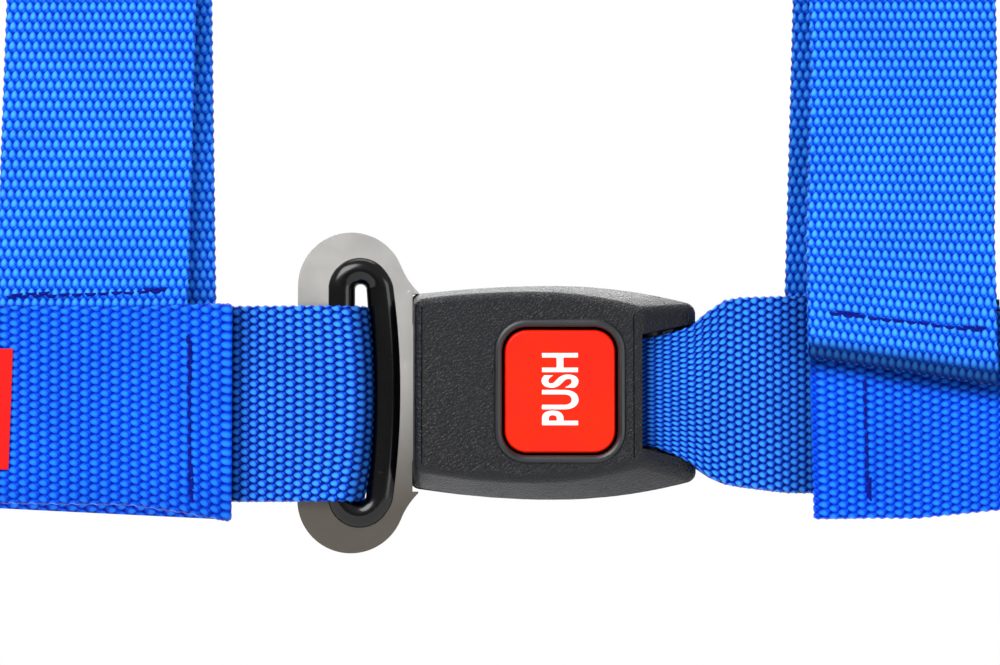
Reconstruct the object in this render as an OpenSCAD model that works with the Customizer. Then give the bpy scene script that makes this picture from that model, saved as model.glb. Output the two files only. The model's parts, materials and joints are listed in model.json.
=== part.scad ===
// Four-point racing harness with a push-button lap buckle.
// It stands upright as worn: +X to the side, -Y out from the chest, +Z up.
// The origin is the centre of the buckle's back face. All lengths are in millimetres.

/* [Webbing] */
// Width of the lap webbing
lap_w = 50.5; // [48:0.1:51]
// Width of the shoulder webbing
shoulder_w = 48.5; // [46:0.1:50]
// Thickness of all the webbing
web_t = 1.8; // [1.6:0.1:1.8]

/* [Layout] */
// Distance from the buckle's centre to the left lap adjuster's bar
left_lap_x = 192; // [188:1:230]
// Distance from the buckle's centre to the right lap adjuster's bar
right_lap_x = 166; // [160:1:210]
// Distance from the buckle's centre to the left shoulder strap's centre line
left_shoulder_x = 115; // [113:1:118]
// Distance from the buckle's centre to the right shoulder strap's centre line
right_shoulder_x = 89.5; // [88:0.5:92]
// Height of the shoulder adjusters' bars above the buckle's centre
shoulder_z = 190; // [180:1:240]
// Length of each adjustable strap, from its adjuster's bar to its anchor plate's bar
anchor_run = 150; // [150:1:190]

/* [Buckle] */
// Length of the buckle, along the lap belt
buckle_l = 73; // [73:0.5:74]
// Height of the buckle at the middle of its bulged sides
buckle_h = 55.2; // [55:0.1:57]
// Thickness of the buckle, front to back
buckle_d = 23; // [23:0.5:24]
// Wall of the two buckle shells
shell_t = 2; // [1.6:0.1:2.2]

/* [Anchors] */
// Radius of each anchor plate's hole, for a 7/16 inch bolt
anchor_hole_r = 5.9; // [5.6:0.1:6.5]
// Thickness of each anchor plate
anchor_t = 3; // [2.5:0.1:3]

/* [Hidden] */
$fn = 64;

blue = "royalblue";
thread_blue = "navy";
charcoal = [0.16, 0.17, 0.19];
steel = "silver";
black = [0.06, 0.06, 0.07];

// The webbing lies in layers on both sides of the belt's middle plane
mid_y = -11;
layer_pitch = 1.9;
function layer(k) = mid_y - k * layer_pitch;
left_drop = 2.5;
loop_drop = 1;
right_drop = 7;

// The tongue's outline
lobe_x = -52.4;
lobe_z = 27.6;
lobe_r = 13.8;
slot_x = -50.2;
slot_w = 6;
slot_half = 29;
tongue_t = 3;
neck_x = -36.6;
neck_z = 25.5;
horn_x = -35.1;
hollow_x = -21.1;
hollow_z = 40.1;
hollow_r = 19.9;
blade_z = 17.6;
liner_lip = 5.6;
liner_end = 6.3;

// The buckle's outside: bulge of its long sides, place and size of its front face
bulge = 2.8;
split_y = -9;
face_x = -6.6;
face_z = 0.8;
face_l = 57.2;
face_h = 46.4;
cavity_half = 21.2;
screw_x = 29;
screw_z = 18;

// Inside the buckle
frame_half = 23.5;
frame_back = -3;
frame_t = 2.5;
blade_tip = 0;
leaf_y = -5.5;
leaf_t = 1.1;
bar_x = 25;
bar_r = 3;
rivet_x = 14.5;
spring_seat_x = 18.4;

// The button and the opening round it
button_x = 1.3;
button_l = 28.2;
button_h = 31.4;
button_gap = 0.7;

// Where the webbing's loops turn and its ends are folded back
loop_x = -54;
loop_r = 4.6;
left_hem_x = 83.5;
right_hem_x = 66.8;
shoulder_hem_z = 9;

// The adjuster and the anchor plate, measured outwards from the adjuster's bar
sewn_bar_r = 1.9;
fold_r = 2.85;
adjuster_t = 2.5;
adjuster_len = 42;
lock_u = 29;
lock_y = -13.6;
lock_r = 3;
lock_travel = 3;
run_y = -8.65;
tail_y = run_y - layer_pitch;
tail_end = 96;
ring_r = 4.4;

// ---------- shapes that repeat ----------

// Unit normal of the step from a to b
function side(a, b) = [a.y - b.y, b.x - a.x] / norm(b - a);

// One side of a ribbon that follows path p at distance h
function edge(p, h) = [
    for (i = [0 : len(p) - 1])
        let (a = side(p[max(i - 1, 0)], p[max(i, 1)]))
        let (b = side(p[min(i, len(p) - 2)], p[min(i + 1, len(p) - 1)]))
        p[i] + (a + b) * h / (1 + a * b)
];

function reversed(p) = [for (i = [len(p) - 1 : -1 : 0]) p[i]];

// A band of webbing that follows path p in the XY plane and is w wide in Z
module band(p, w, t = web_t) {
    linear_extrude(height = w, center = true)
        polygon(concat(edge(p, t / 2), reversed(edge(p, -t / 2))));
}

// Half ring of webbing round a bar that runs along Z; dir 1 opens to -X
module fold(x, r, w, dir) {
    translate([x, mid_y, 0])
        difference() {
            cylinder(r = r + web_t / 2, h = w, center = true);
            cylinder(r = r - web_t / 2, h = w + 2, center = true);
            translate([-dir * 25, 0, 0])
                cube([50, 60, w + 4], center = true);
        }
}

// A row of stitches along Z: a dash of thread every pitch
module stitch_row(length, pitch = 3.6) {
    count = floor(length / pitch);
    for (i = [0 : count - 1])
        translate([0, 0, (i - (count - 1) / 2) * pitch])
            cube([0.8, 0.4, pitch * 0.72], center = true);
}

// A helical spring along Z, from 0 to h
module coil(r, wire, turns, h) {
    steps = 14;
    sides = 6;
    rings = turns * steps;
    points = [
        for (i = [0 : rings])
            for (j = [0 : sides - 1])
                let (a = i * 360 / steps, b = j * 360 / sides)
                [
                    (r + wire * cos(b)) * cos(a),
                    (r + wire * cos(b)) * sin(a),
                    wire + (h - 2 * wire) * i / rings + wire * sin(b)
                ]
    ];
    walls = [
        for (i = [0 : rings - 1])
            for (j = [0 : sides - 1])
                let (k = (j + 1) % sides)
                [i * sides + j, (i + 1) * sides + j, (i + 1) * sides + k, i * sides + k]
    ];
    start = [for (j = [0 : sides - 1]) j];
    end = [for (j = [sides - 1 : -1 : 0]) rings * sides + j];
    polyhedron(points, concat(walls, [start, end]), convexity = 8);
}

// Stands a shape that was drawn in the XZ plane, from y = back to y = front
module plate(back, front) {
    translate([0, back, 0])
        rotate([90, 0, 0])
            linear_extrude(height = back - front)
                children();
}

// ---------- places of the four adjustable straps ----------

module at_left_lap() {
    translate([-left_lap_x, 0, -left_drop])
        mirror([1, 0, 0])
            children();
}

module at_right_lap() {
    translate([right_lap_x, 0, -right_drop])
        children();
}

module at_left_shoulder() {
    translate([-left_shoulder_x, 0, shoulder_z])
        rotate([0, -90, 0])
            children();
}

module at_right_shoulder() {
    translate([right_shoulder_x, 0, shoulder_z])
        rotate([0, -90, 0])
            children();
}

// ---------- buckle ----------

// The buckle's outline: a long rectangle with bulged sides
module buckle_outline(inset = 0) {
    bulge_r = (buckle_l * buckle_l / 4 + bulge * bulge) / (2 * bulge);
    intersection() {
        square([buckle_l - 2 * inset, buckle_h], center = true);
        translate([0, buckle_h / 2 - bulge_r])
            circle(r = bulge_r - inset, $fn = 240);
        translate([0, bulge_r - buckle_h / 2])
            circle(r = bulge_r - inset, $fn = 240);
    }
}

// The V-shaped mouth between the two prongs that the webbing leaves by
module webbing_mouth() {
    polygon([[22, -14.6], [22, 14.6], [36, 19], [buckle_l, 19], [buckle_l, -19], [36, -19]]);
}

module buckle_cover() {
    color(charcoal)
        difference() {
            hull() {
                plate(split_y, split_y - 3)
                    buckle_outline();
                plate(-buckle_d + 1.2, -buckle_d)
                    translate([face_x, face_z])
                        square([face_l, face_h], center = true);
                plate(-buckle_d + 2.4, -buckle_d + 1.8)
                    translate([face_x, face_z])
                        square([face_l + 2.4, face_h + 2.2], center = true);
            }
            plate(0, -14)
                buckle_outline(shell_t);
            translate([-34.5, -15.5, -frame_half - 0.3])
                cube([63.5, 8, 2 * frame_half + 0.6]);
            translate([-34.5, -20.9, -cavity_half])
                cube([56, 8, 2 * cavity_half]);
            plate(0, -buckle_d - 1)
                translate([button_x, 0])
                    square([button_l + 2 * button_gap, button_h + 2 * button_gap], center = true);
            plate(0, -buckle_d - 1)
                webbing_mouth();
            translate([-buckle_l / 2, mid_y, 0])
                cube([12, 4, 37], center = true);
        }
}

module buckle_base() {
    color(charcoal)
        difference() {
            plate(0, split_y + 0.05)
                buckle_outline();
            plate(-shell_t, split_y - 1)
                buckle_outline(shell_t);
            for (x = [-screw_x, screw_x])
                for (z = [-screw_z, screw_z])
                    translate([x, 1, z])
                        rotate([90, 0, 0])
                            cylinder(r = 1.55, h = 4);
            translate([-buckle_l / 2, mid_y, 0])
                cube([12, 5.2, 37], center = true);
            translate([buckle_l / 2, mid_y, 0])
                cube([12, 12, 44], center = true);
        }
}

module buckle_screws() {
    color(steel)
        for (x = [-screw_x, screw_x])
            for (z = [-screw_z, screw_z])
                translate([x, 0, z])
                    rotate([90, 0, 0])
                        difference() {
                            union() {
                                translate([0, 0, 0.1])
                                    cylinder(r = 1.5, h = 2.8);
                                translate([0, 0, 2.0])
                                    cylinder(r = 2.6, h = 0.9);
                            }
                            translate([0, 0, -0.1])
                                cylinder(r = 0.8, h = 1.3, $fn = 6);
                        }
}

// Steel channel that carries the pull from the tongue to the webbing
module latch_frame() {
    floor_y = frame_back - frame_t;
    color(steel)
        difference() {
            union() {
                translate([-31, floor_y, -frame_half])
                    cube([59.6, frame_t, 2 * frame_half]);
                for (s = [-1, 1])
                    translate([-31, -15.2, s * (frame_half - frame_t / 2) - frame_t / 2])
                        cube([59.6, 15.2 + frame_back, frame_t]);
                translate([spring_seat_x, mid_y - 2, -3.2])
                    cube([1.2, 8, 6.4]);
            }
            translate([-17, floor_y - 1, -14.5])
                cube([26.2, frame_t + 2, 29]);
            for (s = [-1, 1])
                for (x = [-screw_x, screw_x])
                    translate([x, -2, s * screw_z])
                        rotate([90, 0, 0])
                            cylinder(r = 2.7, h = 8);
            translate([bar_x, mid_y, 0])
                cylinder(r = bar_r + 0.02, h = 60, center = true);
            for (z = [-4, 4])
                translate([rivet_x, -1, z])
                    rotate([90, 0, 0])
                        cylinder(r = 1.5, h = 6);
        }
}

module webbing_bar() {
    color(steel)
        translate([bar_x, mid_y, 0])
            cylinder(r = bar_r, h = 2 * frame_half, center = true);
}

// Spring steel leaf: its tooth holds the tongue, and the button bends it back
module latch_leaf() {
    color(steel)
        difference() {
            union() {
                translate([-10, leaf_y - leaf_t, -6])
                    cube([28.2, leaf_t, 12]);
                translate([3, leaf_y - leaf_t, -13.4])
                    cube([6, leaf_t, 26.8]);
                translate([-9.6, -13.2, -6])
                    cube([5.1, 13.2 + leaf_y, 12]);
            }
            for (z = [-4, 4])
                translate([rivet_x, -1, z])
                    rotate([90, 0, 0])
                        cylinder(r = 1.5, h = 8);
        }
}

module leaf_rivets() {
    color(steel)
        for (z = [-4, 4])
            translate([rivet_x, frame_back, z])
                rotate([90, 0, 0])
                    union() {
                        cylinder(r = 1.48, h = frame_t + leaf_t + 0.5);
                        translate([0, 0, frame_t + leaf_t])
                            cylinder(r = 2.2, h = 0.5);
                    }
}

module release_button() {
    front_y = -buckle_d + 0.5;
    color("red")
        difference() {
            union() {
                translate([button_x - button_l / 2, front_y, -button_h / 2])
                    cube([button_l, 5.5, button_h]);
                for (s = [-1, 1])
                    translate([4, front_y + 2, s * 11.2 - 1.8])
                        cube([4, leaf_y - leaf_t - 0.3 - front_y - 2, 3.6]);
            }
            translate([button_x - button_l / 2 + 2, front_y + 2, -button_h / 2 + 2])
                difference() {
                    cube([button_l - 4, 10, button_h - 4]);
                    translate([4 - button_x + button_l / 2 - 2, -1, 0])
                        cube([4, 12, button_h]);
                }
        }
}

module button_springs() {
    color(steel)
        for (s = [-1, 1])
            translate([11.2, frame_back - frame_t, s * 11.2])
                rotate([90, 0, 0])
                    coil(1.5, 0.3, 6, 15);
}

// Sliding block that pushes the tongue out when the leaf lets go
module ejector() {
    color("white")
        difference() {
            translate([blade_tip + 0.1, mid_y - 1.6, -6.5])
                cube([12, 3.2, 13]);
            translate([8, mid_y, 0])
                rotate([0, 90, 0])
                    cylinder(r = 1.3, h = 10);
        }
}

module ejector_spring() {
    color(steel)
        translate([8, mid_y, 0])
            rotate([0, 90, 0])
                coil(0.9, 0.25, 8, spring_seat_x - 8);
}

// ---------- tongue ----------

// A long slot with round ends, w wide
module long_slot(w, half) {
    for (s = [-1, 1])
        translate([0, s * (half - w / 2)])
            circle(r = w / 2, $fn = 48);
    square([w, 2 * half - w], center = true);
}

module tongue_plate() {
    back = mid_y + tongue_t / 2;
    front = mid_y - tongue_t / 2;
    color(steel)
        difference() {
            union() {
                for (s = [-1, 1])
                    translate([lobe_x, back, s * lobe_z])
                        rotate([90, 0, 0])
                            cylinder(r = lobe_r, h = tongue_t, $fn = 96);
                plate(back, front)
                    polygon([
                        [lobe_x - lobe_r, lobe_z], [lobe_x, 33], [horn_x, 33],
                        [horn_x, neck_z], [neck_x, neck_z], [neck_x, blade_z],
                        [-6, blade_z], [blade_tip, 13], [blade_tip, -13], [-6, -blade_z],
                        [neck_x, -blade_z], [neck_x, -neck_z], [horn_x, -neck_z],
                        [horn_x, -33], [lobe_x, -33], [lobe_x - lobe_r, -lobe_z]
                    ]);
            }
            for (s = [-1, 1])
                translate([hollow_x, 0, s * hollow_z])
                    rotate([90, 0, 0])
                        cylinder(r = hollow_r, h = 30, $fn = 128);
            plate(0, -30)
                translate([slot_x, 0])
                    long_slot(slot_w + 4, slot_half + 2);
            translate([-9.2, mid_y, 0])
                cube([9.6, tongue_t + 2, 14], center = true);
        }
}

// Moulded liner that keeps the webbing off the slot's steel edge
module tongue_liner() {
    color(black)
        difference() {
            union() {
                plate(mid_y + 2.9, mid_y + tongue_t / 2)
                    translate([slot_x, 0])
                        long_slot(slot_w + 2 * liner_lip, slot_half + liner_end);
                plate(mid_y - tongue_t / 2, mid_y - 2.9)
                    translate([slot_x, 0])
                        long_slot(slot_w + 2 * liner_lip, slot_half + liner_end);
                plate(mid_y + tongue_t / 2, mid_y - tongue_t / 2)
                    translate([slot_x, 0])
                        long_slot(slot_w + 3.9, slot_half + 1.95);
            }
            plate(0, -30)
                translate([slot_x, 0])
                    long_slot(slot_w, slot_half);
        }
}

// ---------- webbing near the buckle ----------

module tongue_loop() {
    leg_x = -84;
    color(blue)
        translate([0, 0, -left_drop])
            union() {
                for (s = [-1, 1])
                    band([[-130, layer(s / 2)], [leg_x, layer(s / 2)], [-67, mid_y - s * loop_r],
                        [loop_x, mid_y - s * loop_r]], lap_w);
                fold(loop_x, loop_r, lap_w, 1);
            }
}

module buckle_loop() {
    turn_r = bar_r + 0.1 + web_t / 2;
    color(blue)
        translate([0, 0, -loop_drop])
            intersection() {
                union() {
                    for (s = [-1, 1])
                        band([[bar_x, mid_y - s * turn_r], [31, mid_y - s * turn_r],
                            [52, layer(s / 2)], [115, layer(s / 2)]], lap_w);
                    fold(bar_x, turn_r, lap_w, -1);
                }
                plate(5, -30)
                    polygon([
                        [15, -13], [27, -13], [37, -17.5], [44, -24], [48, -lap_w / 2],
                        [120, -lap_w / 2], [120, lap_w / 2], [48, lap_w / 2], [44, 24],
                        [37, 17.5], [27, 13], [15, 13]
                    ]);
            }
}

module lap_strap(front, hem_x, end_x) {
    band([[hem_x, layer(front + 1)], [hem_x + 13.5, layer(front + 1)],
        [hem_x + 22, layer(front)], [end_x - 12, layer(front)],
        [end_x - 4, mid_y - fold_r], [end_x, mid_y - fold_r]], lap_w);
    band([[hem_x, layer(front)], [hem_x + 11, layer(front)]], lap_w);
    translate([hem_x + 0.6, layer(front + 0.5), 0])
        cube([1.2, 2 * web_t, lap_w], center = true);
    band([[hem_x + 3, layer(-2.5)], [end_x - 12, layer(-2.5)],
        [end_x - 4, mid_y + fold_r], [end_x, mid_y + fold_r]], lap_w);
    fold(end_x, fold_r, lap_w, 1);
}

module left_lap_strap() {
    color(blue)
        translate([0, 0, -left_drop])
            mirror([1, 0, 0])
                lap_strap(2.5, left_hem_x, left_lap_x);
}

module right_lap_strap() {
    color(blue)
        translate([0, 0, -right_drop])
            lap_strap(1.5, right_hem_x, right_lap_x);
}

module left_lap_label() {
    color("red")
        translate([-159, layer(2.5) - web_t / 2 - 0.3, -4.4])
            cube([40, 0.6, 31], center = true);
}

module left_lap_stitching() {
    color(thread_blue)
        translate([-left_hem_x - 10, layer(3.5) - web_t / 2 - 0.2, -left_drop - 3.5])
            stitch_row(42);
}

module right_lap_stitching() {
    color(thread_blue)
        translate([right_hem_x + 12.6, layer(2.5) - web_t / 2 - 0.2, -right_drop - 4.4])
            stitch_row(30);
}

// ---------- shoulder straps ----------

// Drawn along +X as the height above the belt, then stood up
module stand() {
    rotate([0, -90, 0])
        children();
}

// Narrows a shoulder strap's two layers where they enter the adjuster
module into_adjuster(x) {
    half = shoulder_w / 2;
    intersection() {
        union()
            children();
        plate(5, -40)
            translate([x, shoulder_z])
                polygon([
                    [-half - 6, -230], [half + 6, -230], [half + 6, -22], [half + 0.4, -10],
                    [half + 0.4, 10], [-half - 0.4, 10], [-half - 0.4, -10], [-half - 6, -22]
                ]);
    }
}

module left_shoulder_strap() {
    color(blue)
        into_adjuster(-left_shoulder_x) {
            translate([-left_shoulder_x - 1.5, 0, 0])
                stand()
                    band([[-18, layer(1.5)], [shoulder_z, layer(1.5)]], shoulder_w);
            translate([-left_shoulder_x + 2.5, 0, 0])
                stand()
                    band([[-18, layer(-1.5)], [shoulder_z, layer(-1.5)]], shoulder_w);
            translate([-left_shoulder_x, 0, 0])
                stand()
                    fold(shoulder_z, fold_r, shoulder_w, 1);
        }
}

module right_shoulder_strap() {
    color(blue)
        into_adjuster(right_shoulder_x) {
            translate([right_shoulder_x, 0, 0])
                stand() {
                    band([[shoulder_hem_z, layer(4.5)], [30, layer(4.5)], [75, layer(1.5)],
                        [shoulder_z, layer(1.5)]], shoulder_w);
                    band([[shoulder_hem_z, layer(3.5)], [24, layer(3.5)]], shoulder_w);
                    translate([shoulder_hem_z + 0.6, layer(4), 0])
                        cube([1.2, 2 * web_t, shoulder_w], center = true);
                    fold(shoulder_z, fold_r, shoulder_w, 1);
                }
            translate([right_shoulder_x - 4, 0, 0])
                stand()
                    band([[-18, layer(-1.5)], [shoulder_z, layer(-1.5)]], shoulder_w);
        }
}

module left_shoulder_stitching() {
    color(thread_blue)
        translate([-left_shoulder_x - 1.5, layer(1.5) - web_t / 2 - 0.2, 25.5])
            rotate([0, 90, 0])
                stitch_row(43);
}

module right_shoulder_stitching() {
    color(thread_blue)
        translate([right_shoulder_x, layer(4.5) - web_t / 2 - 0.2, 18])
            rotate([0, 90, 0])
                stitch_row(40);
}

// ---------- adjusters ----------

// Frame: a bar for the sewn strap, two side rails and a cross bar
module adjuster_frame(w) {
    rail_in = w / 2 + 1;
    rail_out = rail_in + 5.6;
    color(charcoal)
        difference() {
            union() {
                translate([0, mid_y, 0])
                    cylinder(r = sewn_bar_r, h = 2 * rail_in + 4, center = true);
                for (s = [-1, 1])
                    translate([0, 0, s * (rail_in + rail_out) / 2]) {
                        translate([adjuster_len / 2, mid_y, 0])
                            cube([adjuster_len, adjuster_t, rail_out - rail_in], center = true);
                        translate([0, mid_y, 0])
                            cylinder(r = 3, h = rail_out - rail_in, center = true);
                        translate([29, mid_y - 3.6, s * 1.5])
                            cube([22, 9.6, 2.6], center = true);
                    }
                translate([adjuster_len - 4, mid_y, 0])
                    cube([8, adjuster_t, 2 * rail_in + 1], center = true);
            }
            for (s = [-1, 1])
                translate([0, lock_y, s * rail_out])
                    for (u = [lock_u, lock_u - lock_travel])
                        translate([u, 0, 0])
                            cylinder(r = 1.88, h = 20, center = true);
            translate([lock_u - lock_travel / 2, lock_y, 0])
                cube([lock_travel, 3.76, 2 * rail_out + 4], center = true);
        }
}

// Knurled bar that slides in the frame's slots and grips the webbing
module lock_bar(w) {
    grip = w / 2 + 0.5;
    color(steel)
        translate([lock_u, lock_y, 0]) {
            difference() {
                cylinder(r = lock_r, h = 2 * grip, center = true);
                for (a = [0 : 30 : 330])
                    rotate([0, 0, a])
                        translate([lock_r + 0.1, 0, 0])
                            cube([0.5, 0.5, 2 * grip + 2], center = true);
            }
            cylinder(r = 1.8, h = 2 * (w / 2 + 8.2), center = true);
        }
}

// Adjustable strap: anchor loop, run, turn round the lock bar and tail
module anchor_strap(w) {
    run_end = anchor_run - 22;
    turn_u = lock_u - 7.5;
    front_y = lock_y - lock_r - 1.1;
    color(blue) {
        band([[anchor_run, mid_y + ring_r], [run_end, run_y], [turn_u + 3, run_y],
            [turn_u, run_y - 2.2], [turn_u, front_y + 2.2], [turn_u + 3, front_y],
            [adjuster_len + 3, front_y], [adjuster_len + 16, tail_y], [tail_end, tail_y]], w);
        band([[anchor_run, mid_y - ring_r], [anchor_run - 16, tail_y],
            [tail_end + 8, tail_y]], w);
        translate([tail_end - 6, tail_y - layer_pitch, 0])
            cube([12, web_t, w], center = true);
        translate([tail_end - 0.6, tail_y - layer_pitch / 2, 0])
            cube([1.2, 2 * web_t, w], center = true);
        fold(anchor_run, ring_r, w, 1);
    }
}

// Elastic band that keeps the tail on the run
module keeper(w) {
    front = tail_y - web_t / 2 - 0.1;
    back = run_y + web_t / 2 + 0.1;
    color(black)
        translate([76, (front + back) / 2, 0])
            difference() {
                cube([12, back - front + 2, w + 2.4], center = true);
                cube([14, back - front, w + 0.4], center = true);
            }
}

// Cross-stitched box that closes the anchor loop, seen on its front
module anchor_stitching(w) {
    color(thread_blue)
        translate([0, tail_y - web_t / 2 - 0.2, 0]) {
            for (u = [tail_end + 12, tail_end + 34])
                translate([u, 0, 0])
                    stitch_row(w - 10);
            for (s = [-1, 1])
                translate([tail_end + 23, 0, s * (w / 2 - 4.4)])
                    rotate([0, 90, 0])
                        stitch_row(20);
        }
}

module anchor_plate(w) {
    bar_u = anchor_run - 2.7;
    hole_u = anchor_run + 32;
    back = mid_y + anchor_t / 2;
    front = mid_y - anchor_t / 2;
    color(steel)
        difference() {
            union() {
                plate(back, front)
                    polygon([
                        [bar_u, -w / 2 - 5], [bar_u, w / 2 + 5],
                        [anchor_run + 14, w / 2 + 5], [hole_u + 6, 14],
                        [hole_u + 6, -14], [anchor_run + 14, -w / 2 - 5]
                    ]);
                translate([hole_u, back, 0])
                    rotate([90, 0, 0])
                        cylinder(r = 15.5, h = anchor_t, $fn = 96);
            }
            translate([anchor_run + 7, mid_y, 0])
                cube([8, anchor_t + 2, w + 1.6], center = true);
            translate([hole_u, 0, 0])
                rotate([90, 0, 0])
                    cylinder(r = anchor_hole_r, h = 30);
        }
}

// ---------- nodes ----------

buckle_cover();
buckle_base();
buckle_screws();
latch_frame();
webbing_bar();
latch_leaf();
leaf_rivets();
release_button();
button_springs();
ejector();
ejector_spring();
tongue_plate();
tongue_liner();
tongue_loop();
buckle_loop();
left_lap_strap();
left_lap_label();
left_lap_stitching();
right_lap_strap();
right_lap_stitching();
left_shoulder_strap();
left_shoulder_stitching();
right_shoulder_strap();
right_shoulder_stitching();
at_left_lap() adjuster_frame(lap_w);  // left_lap_adjuster
at_left_lap() lock_bar(lap_w);  // left_lap_lock_bar
at_left_lap() anchor_strap(lap_w);  // left_lap_anchor_strap
at_left_lap() keeper(lap_w);  // left_lap_keeper
at_left_lap() anchor_stitching(lap_w);  // left_lap_anchor_stitching
at_left_lap() anchor_plate(lap_w);  // left_lap_anchor
at_right_lap() adjuster_frame(lap_w);  // right_lap_adjuster
at_right_lap() lock_bar(lap_w);  // right_lap_lock_bar
at_right_lap() anchor_strap(lap_w);  // right_lap_anchor_strap
at_right_lap() keeper(lap_w);  // right_lap_keeper
at_right_lap() anchor_stitching(lap_w);  // right_lap_anchor_stitching
at_right_lap() anchor_plate(lap_w);  // right_lap_anchor
at_left_shoulder() adjuster_frame(shoulder_w);  // left_shoulder_adjuster
at_left_shoulder() lock_bar(shoulder_w);  // left_shoulder_lock_bar
at_left_shoulder() anchor_strap(shoulder_w);  // left_shoulder_anchor_strap
at_left_shoulder() keeper(shoulder_w);  // left_shoulder_keeper
at_left_shoulder() anchor_stitching(shoulder_w);  // left_shoulder_anchor_stitching
at_left_shoulder() anchor_plate(shoulder_w);  // left_shoulder_anchor
at_right_shoulder() adjuster_frame(shoulder_w);  // right_shoulder_adjuster
at_right_shoulder() lock_bar(shoulder_w);  // right_shoulder_lock_bar
at_right_shoulder() anchor_strap(shoulder_w);  // right_shoulder_anchor_strap
at_right_shoulder() keeper(shoulder_w);  // right_shoulder_keeper
at_right_shoulder() anchor_stitching(shoulder_w);  // right_shoulder_anchor_stitching
at_right_shoulder() anchor_plate(shoulder_w);  // right_shoulder_anchor
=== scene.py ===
# %% [markdown]
# A four-point racing harness: coarse blue webbing, a push-button lap buckle and a stamped steel
# tongue. The hard parts already exist as an exact model, packed as a frame that never moves. This
# lesson dresses that frame: every strap is woven, every edge is eased and every part gets its
# finish. We load the frame first, because all places are read from it.

# %% Load the frame
import json
import math

import bpy
import numpy as np
from mathutils import Matrix, Vector


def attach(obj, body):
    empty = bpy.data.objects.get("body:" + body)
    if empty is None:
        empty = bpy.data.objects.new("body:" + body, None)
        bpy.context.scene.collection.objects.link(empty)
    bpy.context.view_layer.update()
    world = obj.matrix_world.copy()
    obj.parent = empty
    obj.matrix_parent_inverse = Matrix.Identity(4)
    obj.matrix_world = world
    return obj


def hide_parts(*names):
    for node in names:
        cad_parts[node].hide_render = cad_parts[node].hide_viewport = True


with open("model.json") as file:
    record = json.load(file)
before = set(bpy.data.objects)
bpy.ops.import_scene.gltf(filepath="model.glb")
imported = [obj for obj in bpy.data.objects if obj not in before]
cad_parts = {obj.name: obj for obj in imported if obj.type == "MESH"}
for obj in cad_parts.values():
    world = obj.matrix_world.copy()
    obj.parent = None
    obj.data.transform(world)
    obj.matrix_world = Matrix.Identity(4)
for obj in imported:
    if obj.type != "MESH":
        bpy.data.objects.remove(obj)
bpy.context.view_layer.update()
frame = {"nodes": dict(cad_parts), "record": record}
MM = 0.001

# %% [markdown]
# The camera stands almost straight in front of the buckle and a little below it, as if the
# harness hung at chest height. A long lens keeps the straps' edges nearly parallel. It is made
# before the pieces, so that every later choice of detail can be judged from it.

# %% Camera
def aim_camera(target, distance, azimuth, elevation, seen_width):
    a, e = math.radians(azimuth), math.radians(elevation)
    back = Vector((math.sin(a) * math.cos(e), -math.cos(a) * math.cos(e), math.sin(e)))
    bpy.ops.object.select_all(action="DESELECT")
    bpy.ops.object.camera_add(location=target + back * distance)
    camera = bpy.context.object
    camera.rotation_euler = (-back).to_track_quat("-Z", "Y").to_euler()
    camera.data.sensor_width = 36
    camera.data.lens = 36 * distance / seen_width
    bpy.context.scene.camera = camera
    return camera


camera = aim_camera(Vector((-14.0, -18, 15.2)) * MM, 0.85, 0.0, -3.2, 0.2565)
print("lens:", round(camera.data.lens, 1), "mm")

# %% [markdown]
# Shader helpers. A material here is a Principled shader with a few nodes in front of it. These
# two functions add a node and set its sockets in one line, and start a material with the values
# that stay the same all over the surface.

# %% Shader helpers
def node(tree, kind, inputs=(), **settings):
    made = tree.nodes.new("ShaderNode" + kind)
    for name, value in settings.items():
        setattr(made, name, value)
    for socket, value in dict(inputs).items():
        target = made.inputs[socket]
        if isinstance(value, bpy.types.NodeSocket):
            tree.links.new(value, target)
        else:
            target.default_value = value
    return made


def math_node(tree, operation, a, b=0.0, clamp=False):
    return node(tree, "Math", {0: a, 1: b}, operation=operation, use_clamp=clamp).outputs[0]


def blend_colors(tree, factor, a, b, mode="MIX"):
    mixed = node(tree, "Mix", {0: factor}, data_type="RGBA", blend_type=mode)
    for socket, value in ((6, a), (7, b)):
        if isinstance(value, bpy.types.NodeSocket):
            tree.links.new(value, mixed.inputs[socket])
        else:
            mixed.inputs[socket].default_value = (*value, 1)
    return mixed.outputs[2]


def start_material(name, roughness=0.5, **sockets):
    material = bpy.data.materials.new(name)
    material.use_nodes = True
    tree = material.node_tree
    shader = tree.nodes["Principled BSDF"]
    shader.inputs["Roughness"].default_value = roughness
    for socket, value in sockets.items():
        shader.inputs[socket.replace("_", " ")].default_value = value
    return material, tree, shader


def srgb(r, g, b):
    return tuple((c / 255) ** 2.2 for c in (r, g, b))


def start_group(name, inputs, outputs):
    group = bpy.data.node_groups.new(name, "ShaderNodeTree")
    for label, kind, value in inputs:
        socket = group.interface.new_socket(label, in_out="INPUT", socket_type="NodeSocket" + kind)
        if value is not None:
            socket.default_value = value
    for label, kind in outputs:
        group.interface.new_socket(label, in_out="OUTPUT", socket_type="NodeSocket" + kind)
    return group, group.nodes.new("NodeGroupInput").outputs, group.nodes.new("NodeGroupOutput").inputs


print("helpers ready")

# %% [markdown]
# Studio light: a large soft panel above and to the left, a weaker one to the right, and a white
# surround that fills the shadows. The surround looks white to the camera. To the object it is
# bright above and dim below, so that the webbing keeps its deep blue gaps and the steel has
# something to reflect. The floor is a plain pale sheet, well below the harness.

# %% Light and floor
def soft_panel(name, place, aim, size, power):
    bpy.ops.object.light_add(type="AREA", location=place)
    panel = bpy.context.object
    panel.name = name
    panel.data.shape = "RECTANGLE"
    panel.data.size, panel.data.size_y = size
    panel.data.energy = power
    direction = Vector(aim) - Vector(place)
    panel.rotation_euler = direction.to_track_quat("-Z", "Y").to_euler()
    return panel


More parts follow.
